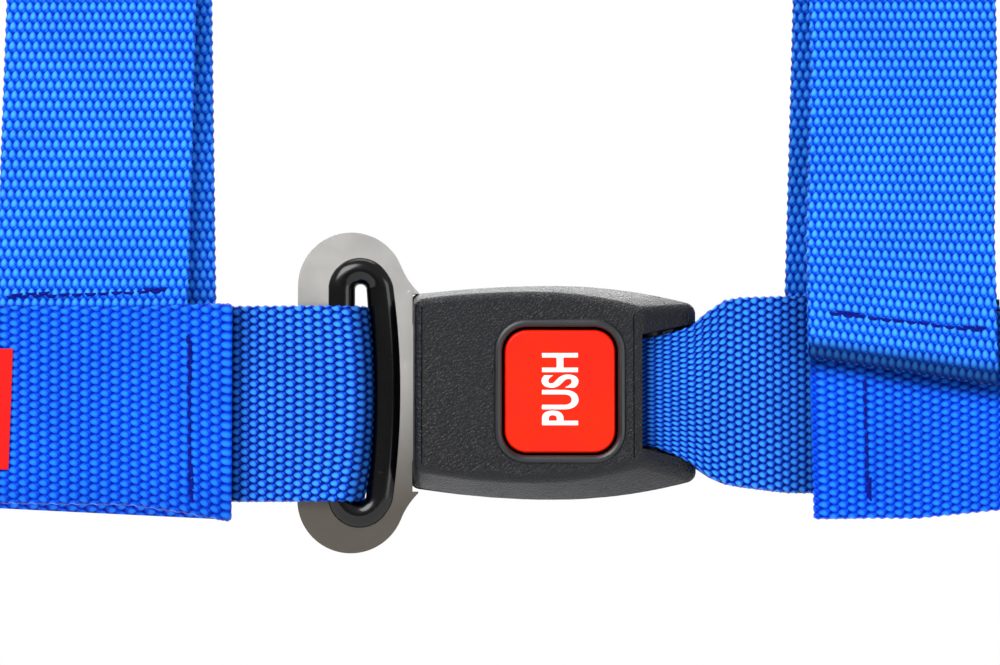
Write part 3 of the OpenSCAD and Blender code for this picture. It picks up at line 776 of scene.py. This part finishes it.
# %% Tongue liner
MID = -11.0
SLOT_X, RIM_R, RIM_BEAD, RIM_END, RIM_DEPTH, RIM_BOW = -50.2, 4.95, 3.65, 26.7, 3.1, 2.4
bpy.ops.object.select_all(action="DESELECT")
bpy.ops.mesh.primitive_torus_add(major_segments=72, minor_segments=28, major_radius=RIM_R * MM,
                                 minor_radius=RIM_BEAD * MM, rotation=(math.pi / 2, 0, 0))
liner = bpy.context.object
liner.name = "slot_liner"
bpy.ops.object.transform_apply(location=True, rotation=True, scale=True)
bisect_at(liner, 2, [0.0])
for sign in (1, -1):
    pick_points(liner, lambda x, y, z: z * sign > 0.01)
    in_edit(liner, bpy.ops.transform.translate, value=(0, 0, sign * RIM_END * MM))
bisect_at(liner, 2, [z for z in range(-26, 27, 2) if z])
for v in liner.data.vertices:
    x, y, z = (c / MM for c in v.co)
    bow = RIM_BOW * max(0.0, 1 - (z / 31) ** 2) * min(1, max(0, (x + 1.0) / 4.0))
    v.co = Vector((x + SLOT_X + bow, y * RIM_DEPTH / RIM_BEAD + MID, z)) * MM
settle(liner, "tongue_half", liner_plastic, "black_plastic", "tongue_liner")
print("liner:", len(liner.data.polygons), "faces")

# %% [markdown]
# Webbing as cloth. A strap is a flat tube that follows a path: its outside carries the beads,
# its inside is plain, and both close in rounded, slightly scalloped edges. A grid is added as a
# flat primitive and wrapped round the path, because a simulation would melt the weave. Each path
# point gives the place along the strap, the depth, the sideways centre, the width and how much
# the strap's end is slanted, all in millimetres.

# %% Paths that bend
def arc(center, radius, start, end, steps=10):
    """Points of a turn round a bar: center is (along, depth), angles in degrees."""
    angles = np.radians(np.linspace(start, end, steps + 1))
    return [(center[0] + radius * math.cos(t), center[1] + radius * math.sin(t)) for t in angles]


def eased(points, reach=4.0):
    """The polyline with its corners rounded off; reach is how far a corner's curve extends."""
    points = np.array(points, float)
    out = [points[0]]
    for before, here, after in zip(points, points[1:], points[2:]):
        for other, order in ((before, (1, 0.5)), (after, (0.5, 1))):
            span = np.linalg.norm((other - here)[:2])
            share = min(reach, 0.45 * span) / max(span, 1e-6)
            for t in order:
                out.append(here + (other - here) * share * t)
        middle = 0.25 * (out[-4] + out[-1]) + 0.5 * here
        out[-3:-1] = [0.5 * (out[-4] + middle) + 0.25 * (here - middle), middle,
                      0.5 * (out[-1] + middle) + 0.25 * (here - middle)]
    out.append(points[-1])
    return np.array(out)


def stations(length, fine_spans, fine, coarse):
    """Distances along a strap where it gets a ring, closer together in the fine spans."""
    marks, s = [0.0], 0.0
    while s < length - 1e-6:
        inside = any(a <= s < b for a, b in fine_spans)
        s = min(s + (fine if inside else coarse), length)
        marks.append(s)
    return np.array(marks)


print("an eased corner:", len(eased([(0, 0), (20, 0), (20, 20)])), "points")

# %% [markdown]
# The strap's mesh is a tube of rings. A grid primitive gives the object, and its points are then
# laid ring by ring. The UV map counts rows along the strap and beads across it.

# %% A tube of rings
def build_tube(name, points, count):
    """Makes points, a list of rings of count points each, a closed tube."""
    rings = len(points) // count
    bpy.ops.object.select_all(action="DESELECT")
    bpy.ops.mesh.primitive_grid_add(x_subdivisions=count, y_subdivisions=rings - 1, size=1)
    tube = bpy.context.object
    tube.name = tube.data.name = name
    rows, cols = np.meshgrid(np.arange(rings - 1), np.arange(count), indexing="ij")
    nxt = (cols + 1) % count
    quads = np.stack([rows * count + cols, rows * count + nxt,
                      (rows + 1) * count + nxt, (rows + 1) * count + cols], -1).reshape(-1, 4)
    ends = [tuple(range(count))[::-1], tuple(range((rings - 1) * count, rings * count))]
    tube.data.clear_geometry()
    tube.data.from_pydata((points * MM).tolist(), [], [tuple(q) for q in quads] + ends)
    while tube.data.uv_layers:
        tube.data.uv_layers.remove(tube.data.uv_layers[0])
    return tube


def set_uv(piece, u, v):
    layer = piece.data.uv_layers.new(name="UVMap")
    index = np.zeros(len(piece.data.loops), np.int32)
    piece.data.loops.foreach_get("vertex_index", index)
    uv = np.stack([u.ravel()[index], v.ravel()[index]], 1)
    layer.data.foreach_set("uv", uv.astype(np.float32).ravel())


def set_shade(piece, light):
    values = piece.data.attributes.new("shade", "FLOAT", "POINT")
    values.data.foreach_set("value", light.astype(np.float32))


def face_outwards(piece):
    select_only(piece)
    bpy.ops.object.mode_set(mode="EDIT")
    bpy.ops.mesh.select_all(action="SELECT")
    bpy.ops.mesh.normals_make_consistent(inside=False)
    bpy.ops.object.mode_set(mode="OBJECT")
    bpy.ops.object.shade_smooth()


print("tube helpers ready")

# %% [markdown]
# Now the weave itself. The rings follow the path, the outside is lifted by the bead pattern and
# the edges are scalloped once per row.

# %% Weave a strap
WEB_T = 1.8
EDGE_ROUND = 0.55
COARSE_STEP = 3.0
PLAIN_POINTS = 13


def weave_strap(name, body, path, along_axis, outside, replaces, fine_spans=(), columns=None,
                flip=False, nominal=50.5, row=ROW, bead=BEAD, finish=lap_webbing, dark_span=None,
                shade=None):
    """outside is +1 or -1: the side of the path that carries the beads. flip turns the beads' wide
    end the other way. shade(x, z) is how light the cloth is there; dark_span is a span of the
    strap whose cloth faces down and gets no light."""
    path = np.array(path, float)
    steps = np.linalg.norm(np.diff(path[:, :2], axis=0), axis=1)
    distance = np.concatenate([[0], np.cumsum(steps)])
    keep = np.concatenate([[True], steps > 1e-6])
    path, distance = path[keep], distance[keep]
    length = distance[-1]
    s = stations(length, fine_spans, row / 6, COARSE_STEP)
    along, depth, center, width, skew = (np.interp(s, distance, path[:, k]) for k in range(5))
    tangent = np.stack([np.gradient(along, s), np.gradient(depth, s)], 1)
    tangent /= np.linalg.norm(tangent, axis=1)[:, None]
    normal = np.stack([tangent[:, 1], -tangent[:, 0]], 1) * outside
    columns = columns or round(nominal / bead * 5)
    plain = np.linspace(0.5, -0.5, PLAIN_POINTS + 2)[1:-1]
    ring = np.concatenate([np.linspace(-0.5, 0.5, columns + 1), plain])
    side = np.concatenate([np.ones(columns + 1), -np.ones(PLAIN_POINTS)])
    count = len(ring)

    edge_in = np.clip((np.abs(ring) * nominal - (nominal / 2 - EDGE_ROUND)) / EDGE_ROUND, 0, 1)
    half = np.sqrt(np.clip(1 - edge_in**2, 0, 1)) * WEB_T / 2
    fade = np.zeros(len(s))
    for a, b in fine_spans:
        fade = np.maximum(fade, np.clip(np.minimum(s - a, b - s) / 1.5, 0, 1))
    uu, vv = np.meshgrid(s / row * (-1 if flip else 1), ring * nominal / bead, indexing="ij")
    lift = (bead_height(uu, vv) - 0.62) * RELIEF * fade[:, None] * (side > 0) * (1 - edge_in**2)
    scallop = 0.16 * np.cos(2 * np.pi * (uu + 0.25)) * (edge_in > 0) * fade[:, None]
    offset = (half * side)[None, :] + lift
    across_mm = ring[None, :] * width[:, None] + scallop * np.sign(ring)[None, :]
    a_mm = along[:, None] + normal[:, 0:1] * offset + skew[:, None] * across_mm
    y_mm = depth[:, None] + normal[:, 1:2] * offset
    c_mm = center[:, None] + across_mm
    corner = (c_mm, y_mm, a_mm) if along_axis == "z" else (a_mm, y_mm, c_mm)
    points = np.stack(corner, -1).reshape(-1, 3)
    strap = build_tube(name, points, count)
    set_uv(strap, uu, vv)
    light = np.ones(len(points)) if shade is None else shade(points[:, 0], points[:, 2])
    if dark_span:
        in_dark = np.clip(np.minimum(s - dark_span[0], dark_span[1] - s) / 0.5, 0, 1)
        light = light * np.repeat(1 - 0.76 * in_dark, count)
    set_shade(strap, light)
    face_outwards(strap)

    strap.data.materials.append(finish[0 if fine_spans else 1])
    if fine_spans:
        strap.data.materials.append(finish[1])
        back = np.ones(len(strap.data.polygons), np.int32)
        is_back = (np.arange(count) >= columns) | (fade[:-1, None] < 0.5)
        back[:is_back.size] = is_back.ravel()
        strap.data.polygons.foreach_set("material_index", back)
    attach(strap, body)
    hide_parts(replaces)
    print(name, "length", round(length, 1), "mm,", len(points), "points")


def ramp(value, start, end, low, high):
    """low before start, high after end, a straight change between them."""
    return low + (high - low) * np.clip((value - start) / (end - start), 0, 1)


# %% [markdown]
# The webbing at the left. The lap strap ends in a folded hem 84 mm left of the buckle's centre
# and is sewn over the tongue's loop and the shoulder strap. Each layer lies 1.9 mm in front of
# the next. The straps lean and flare a little, as sewn webbing does, and come back to the
# adjusters' centre lines.

# %% Left straps
PITCH = 1.9
FOLD = 2.85


def layer_y(k):
    return MID - PITCH * k


def with_shape(points, shape):
    """Adds centre, width and slant to (along, depth) points; shape lists (along, c, w, slant)."""
    shape = np.array(sorted(shape), float)
    return [(a, y, *(np.interp(a, shape[:, 0], shape[:, k]) for k in (1, 2, 3))) for a, y in points]


def path_2d(points, reach=4.0):
    return [tuple(p) for p in eased(points, reach)]


def weave_layers(strap, body, axis, shape, *layers, **shared):
    """Weaves the named layers of one strap: (name, path, outside, what that layer has of its own)."""
    for name, path, outside, own in layers:
        weave_strap(name, body, with_shape(path, shape), axis, outside, strap, **{**shared, **own})


left_lap_front = (
    path_2d([(-95.0, layer_y(2.5)), (-84.6, layer_y(2.5))])
    + arc((-84.6, layer_y(3)), PITCH / 2, 90, -90, 8)
    + path_2d([(-85.0, layer_y(3.5)), (-96.0, layer_y(3.5)), (-105.5, layer_y(2.5)),
               (-180.0, layer_y(2.5)), (-188.0, MID - FOLD), (-192.0, MID - FOLD)])
)
left_lap_shape = [(-192, -2.5, 50.5, 0), (-160, -3.2, 51.0, 0), (-142, -4.0, 51.8, 0),
                  (-111, -3.4, 50.8, 0), (-96, -4.2, 53.4, 0), (-84, -5.2, 55.8, 0)]
left_lap_back = arc((-192, MID), FOLD, -90, -270, 12) + path_2d(
    [(-191.5, MID + FOLD), (-188.0, MID + FOLD), (-180.0, layer_y(-2.5)), (-86.5, layer_y(-2.5))])
weave_layers("left_lap_strap", "tongue_half", "x", left_lap_shape,
             ("left_lap_front", left_lap_front, -1, dict(
                 fine_spans=[(8.5, 110)], row=2.6, bead=2.08,
                 shade=lambda x, z: ramp(z, -31, -20, 0.72, 1.0))),
             ("left_lap_back", left_lap_back, -1, {}))

loop_shape = [(-130, -2.5, 50.5, 0), (-84, -2.9, 50.5, 0), (-48, -2.9, 50.3, 0)]
loop_front = path_2d([(-130, layer_y(0.5)), (-86, layer_y(0.5)), (-66, MID - 4.6), (-54.5, MID - 4.6)], 9) \
    + arc((-54, MID), 4.6, -90, 90, 16)
loop_back = path_2d([(-54.2, MID + 4.6), (-67, MID + 4.6), (-84, layer_y(-0.5)), (-130, layer_y(-0.5))], 9)
weave_layers("tongue_loop", "tongue_half", "x", loop_shape,
             ("tongue_loop_front", loop_front, 1, dict(
                 fine_spans=[(42, 95)], flip=True, row=2.3, bead=2.05,
                 shade=lambda x, z: ramp(x, -83, -76, 0.3, 1.0) * ramp(x, -55, -50.5, 1.0, 0.3))),
             ("tongue_loop_back", loop_back, 1, {}), finish=shaded_loop_webbing)
for name in ("tongue_loop_front", "tongue_loop_back"):
    for v in bpy.data.objects[name].data.vertices:
        x, z = v.co.x / MM, v.co.z / MM
        near = min(1.0, max(0.0, (x + 78) / 24))
        bow = 2.3 * (1 - ((z + 1) / 27) ** 2) - 0.7 * min(1, max(0, (-z - 18) / 11))
        v.co.x += near**2 * bow * MM

back_of_shoulder = path_2d([(-18, layer_y(-1.5)), (190, layer_y(-1.5))])
left_front = path_2d([(-18, layer_y(1.5)), (190, layer_y(1.5))]) + arc((190, MID), FOLD, -90, 90, 12)
left_front_shape = [(-18, -120.3, 50.1, 0), (23, -119.5, 50.2, 0), (48, -118.7, 50.3, 0),
                    (100, -116.3, 50.1, 0), (172, -115.0, 48.5, 0), (193, -115.0, 48.5, 0)]
left_back_shape = [(-18, -111.2, 48.5, 0), (23, -110.2, 48.5, 0), (100, -107.4, 48.8, 0),
                   (150, -113.0, 48.5, 0), (176, -115.0, 48.5, 0), (193, -115.0, 48.5, 0)]
left_shoulder = dict(fine_spans=[(36, 124)], row=2.56, nominal=48.5, finish=lit_shoulder_webbing)
weave_layers("left_shoulder_strap", "tongue_half", "z", left_front_shape,
             ("left_shoulder_front", left_front, 1, {}), **left_shoulder)
weave_layers("left_shoulder_strap", "tongue_half", "z", left_back_shape,
             ("left_shoulder_back", back_of_shoulder, 1, dict(
                 shade=lambda x, z: ramp(z, 120, 170, 0.74, 1.0))), **left_shoulder)

# %% [markdown]
# The webbing at the right. The short loop comes out of the buckle's mouth, where it is squeezed
# to half its width, and spreads to the full width within 25 mm. The lap strap is sewn over it,
# and the shoulder strap over both, with a slanted hem.

# %% Right straps
buckle_front = arc((25, MID), 4.0, 180, 270, 10) + path_2d(
    [(25.4, MID - 4.0), (31, MID - 4.0), (52, layer_y(0.5)), (115, layer_y(0.5))], 8)
buckle_shape = [(20, 0.0, 27.6, 0), (25, 0.0, 28.2, 0), (28, -0.1, 30.2, 0), (33.2, -0.5, 33.4, 0),
                (36.8, -0.8, 37.2, 0), (39.5, -0.4, 43.2, 0), (43, 0.1, 47.3, 0), (48.3, 0.1, 49.1, 0),
                (59, -0.4, 50.8, 0), (67, -0.7, 51.4, 0), (115, -1.0, 50.5, 0)]
buckle_back = path_2d([(115, layer_y(-0.5)), (52, layer_y(-0.5)), (31, MID + 4.0), (25.4, MID + 4.0)], 8) \
    + arc((25, MID), 4.0, 90, 180, 10)
weave_layers("buckle_loop", "buckle_half", "x", buckle_shape,
             ("buckle_loop_front", buckle_front, 1, dict(
                 fine_spans=[(2, 52)], flip=True, row=2.06,
                 shade=lambda x, z: ramp(x, 21.5, 27, 0.25, 1.0) * ramp(x, 52, 66, 1.0, 0.45))),
             ("buckle_loop_back", buckle_back, 1, {}), finish=shaded_loop_webbing)

right_lap_front = (
    path_2d([(79.0, layer_y(1.5)), (68.0, layer_y(1.5))])
    + arc((68.0, layer_y(2)), PITCH / 2, 90, 270, 8)
    + path_2d([(68.4, layer_y(2.5)), (80.0, layer_y(2.5)), (89.0, layer_y(1.5)),
               (154.0, layer_y(1.5)), (162.0, MID - FOLD), (166.0, MID - FOLD)])
)
right_lap_shape = [(66, -5.8, 53.6, -0.02), (80, -6.4, 52.0, 0), (114, -7.0, 51.0, 0),
                   (135, -4.5, 50.5, 0), (152, -1.0, 50.5, 0), (170, -1.0, 50.5, 0)]
right_lap_back = arc((166, MID), FOLD, -90, 90, 12) + path_2d(
    [(165.5, MID + FOLD), (162, MID + FOLD), (154, layer_y(-2.5)), (70, layer_y(-2.5))])
weave_layers("right_lap_strap", "buckle_half", "x", right_lap_shape,
             ("right_lap_front", right_lap_front, 1, dict(
                 fine_spans=[(10, 75)], flip=True, row=2.46, bead=1.97,
                 shade=lambda x, z: np.maximum(ramp(z + 0.145 * x, 12.6, 16.8, 1.05, 0.34),
                                               ramp(x, 116, 128, 0.3, 1.0)))),
             ("right_lap_back", right_lap_back, 1, {}))

right_front = (
    path_2d([(24, layer_y(3.5)), (5.4, layer_y(3.5))])
    + [(4.6, layer_y(3.58)), (4.4, layer_y(3.7)), (4.7, layer_y(3.82)), (7.4, layer_y(4.45))]
    + path_2d([(8.0, layer_y(4.5)), (30, layer_y(4.5)), (75, layer_y(1.5)), (190, layer_y(1.5))], 10)
    + arc((190, MID), FOLD, -90, 90, 12)
)
right_front_shape = [(5, 89.3, 48.6, -0.15), (14, 89.1, 48.6, -0.14), (40, 88.8, 48.4, -0.02),
                     (50, 89.2, 48.3, 0), (100, 91.0, 48.4, 0), (172, 89.5, 48.5, 0), (195, 89.5, 48.5, 0)]
right_back_shape = [(-18, 82.8, 48.5, 0), (24, 83.7, 48.5, 0), (53, 85.6, 48.6, 0), (100, 89.3, 48.6, 0),
                    (150, 89.0, 48.5, 0), (176, 89.5, 48.5, 0), (193, 89.5, 48.5, 0)]
right_shoulder = dict(row=2.52, bead=2.0, nominal=48.5, finish=lit_shoulder_webbing)
weave_layers("right_shoulder_strap", "buckle_half", "z", right_front_shape,
             ("right_shoulder_front", right_front, 1, dict(
                 fine_spans=[(25.8, 134)], dark_span=(18.0, 25.9))), **right_shoulder)
weave_layers("right_shoulder_strap", "buckle_half", "z", right_back_shape,
             ("right_shoulder_back", back_of_shoulder, 1, dict(
                 fine_spans=[(36, 124)],
                 shade=lambda x, z: ramp(z, 120, 170, 0.66, 1.0))), **right_shoulder)

# %% [markdown]
# Seams. A stitch is a short loop of thick thread, pulled into the weave at both ends. One stitch
# is shaped from a cylinder with rounded ends and copied along each seam, with a doubled stretch
# where the machine went back and forth to lock it.

# %% Stitches
STITCH_PITCH, STITCH_LENGTH, STITCH_THICK = 3.3, 2.838, 0.85


def one_stitch(name, length, thick):
    bpy.ops.object.select_all(action="DESELECT")
    bpy.ops.mesh.primitive_cylinder_add(vertices=8, radius=thick / 2 * MM, depth=length * MM)
    stitch = bpy.context.object
    stitch.name = name
    bisect_at(stitch, 2, [-length * 0.28, length * 0.28])
    pick_points(stitch, lambda x, y, z: abs(z) > length * 0.45)
    in_edit(stitch, bpy.ops.transform.resize, value=(0.45, 0.45, 1), center_override=(0, 0, 0))
    pick_points(stitch, lambda x, y, z: abs(z) > length * 0.45)
    in_edit(stitch, bpy.ops.transform.translate, value=(0, 0.35 * thick * MM, 0))
    return stitch


def seam(name, body, start, end, layer, dense, replaces, seed):
    """Copies a stitch from start to end, (along x, up z) on a layer; dense lists doubled shares."""
    rng = np.random.default_rng(seed)
    start, end = (Vector((x, layer_y(layer), z)) for x, z in (start, end))
    run = end - start
    above = Vector((0, -WEB_T / 2 - 0.18, 0))
    count = round(run.length / STITCH_PITCH)
    base_stitch = one_stitch(name + "_one", STITCH_LENGTH, STITCH_THICK)
    turn = run.to_track_quat("Z", "Y").to_matrix().to_4x4()
    copies = []
    for i in range(count):
        share = (i + 0.5) / count
        doubled = any(a <= share <= b for a, b in dense)
        for k in range(2 if doubled else 1):
            copy = base_stitch.copy()
            copy.data = base_stitch.data.copy()
            bpy.context.scene.collection.objects.link(copy)
            wobble = Vector(rng.uniform(-0.18, 0.18, 3))
            place = start + run * share + wobble + above
            if k:
                place += run.normalized() * STITCH_PITCH * 0.5
                place += run.normalized().cross(Vector((0, 1, 0))) * 0.5
            tilt = Matrix.Rotation(rng.uniform(-0.06, 0.06), 4, "X")
            copy.matrix_world = Matrix.Translation(place * MM) @ turn @ tilt
            copies.append(copy)
    bpy.data.objects.remove(base_stitch, do_unlink=True)
    bpy.ops.object.select_all(action="DESELECT")
    for copy in copies:
        copy.select_set(True)
    bpy.context.view_layer.objects.active = copies[0]
    bpy.ops.object.join()
    row = bpy.context.object
    bpy.ops.object.transform_apply(location=True, rotation=True, scale=True)
    row.name = row.data.name = name
    settle(row, body, thread, "blue_thread", replaces)


seam("left_lap_seam", "tongue_half", (-93.8, 14.9), (-93.4, -26.8), 3.5, [(0, 0.2), (0.78, 1)],
     "left_lap_stitching", seed=3)
seam("right_lap_seam", "buckle_half", (79.4, 3.0), (80.2, -26.5), 2.5, [(0.8, 1)],
     "right_lap_stitching", seed=4)
seam("left_shoulder_seam", "tongue_half", (-141.5, 24.4), (-101.0, 26.0), 1.5, [(0, 0.22), (0.8, 1)],
     "left_shoulder_stitching", seed=5)
seam("right_shoulder_seam", "buckle_half", (70.0, 20.0), (109.0, 15.6), 4.5, [(0, 0.15), (0.82, 1)],
     "right_shoulder_stitching", seed=6)

# %% [markdown]
# The label is a plain strip of red ribbon sewn on the left lap strap: a thin block with eased
# edges that leans a little, as the strap does.

# %% Label
LABEL_TOP, LABEL_LEAN = 11.1, 0.029
label = block("lap_label", (-179, -17.55, -19.9), (-139, -17.0, LABEL_TOP))
round_edges(label, 0.2, 2)
for v in label.data.vertices:
    v.co.x += LABEL_LEAN * (v.co.z - LABEL_TOP * MM)
settle(label, "tongue_half", ribbon, "red_label", "left_lap_label")
print("label:", len(label.data.polygons), "faces")

# %% [markdown]
# The four adjustable straps are alike: an adjuster with a sliding lock bar, a strap that turns
# round the bar and ends in a sewn tail, a keeper, and an anchor plate. Each strap is woven flat
# round its own path, measured outwards from the adjuster's bar, and then carried to its place.

# %% Adjustable straps
ANCHOR_RUN, RUN_Y, TAIL_Y, LOCK_Y = 150.0, -8.65, -10.55, -13.6
ring_out = arc((ANCHOR_RUN, MID), 4.4, -90, 90, 12)
anchor_path = (
    path_2d([(84, TAIL_Y - PITCH), (95.2, TAIL_Y - PITCH)])
    + arc((95.2, TAIL_Y - PITCH / 2), PITCH / 2, -90, 90, 6)
    + path_2d([(95.0, TAIL_Y), (58, TAIL_Y), (45, -17.7), (24.5, -17.7), (21.5, -15.5),
               (21.5, -10.85), (24.5, RUN_Y), (128, RUN_Y), (149.6, MID + 4.4)], 3.0)
    + ring_out[::-1] + path_2d([(149.6, MID - 4.4), (134, TAIL_Y), (104, TAIL_Y)], 3.0)
)
straps = {
    "left_lap": (-1, "x", -192.0, -2.5, 50.5), "right_lap": (1, "x", 166.0, -7.0, 50.5),
    "left_shoulder": (1, "z", 190.0, -115.0, 48.5), "right_shoulder": (1, "z", 190.0, 89.5, 48.5),
}
for place, (sign, axis, at, center, width) in straps.items():
    points = [(at + sign * a, y, center, width, 0.0) for a, y in anchor_path]
    weave_strap(place + "_webbing", body_of[place + "_anchor_strap"], points, axis, sign,
                place + "_anchor_strap", columns=26, nominal=width,
                finish=lit_shoulder_webbing if axis == "z" else lap_webbing)
    eased_copy(place + "_adjuster", 0.45, black_steel, "black_steel", 2)
    eased_copy(place + "_lock_bar", 0.0, zinc_steel, "zinc_steel")
    eased_copy(place + "_keeper", 0.25, elastic, "black_elastic", 2)
    eased_copy(place + "_anchor", 0.5, zinc_steel, "zinc_steel", 2)
    frame["nodes"][place + "_anchor_stitching"].data.materials.clear()
    frame["nodes"][place + "_anchor_stitching"].data.materials.append(thread)
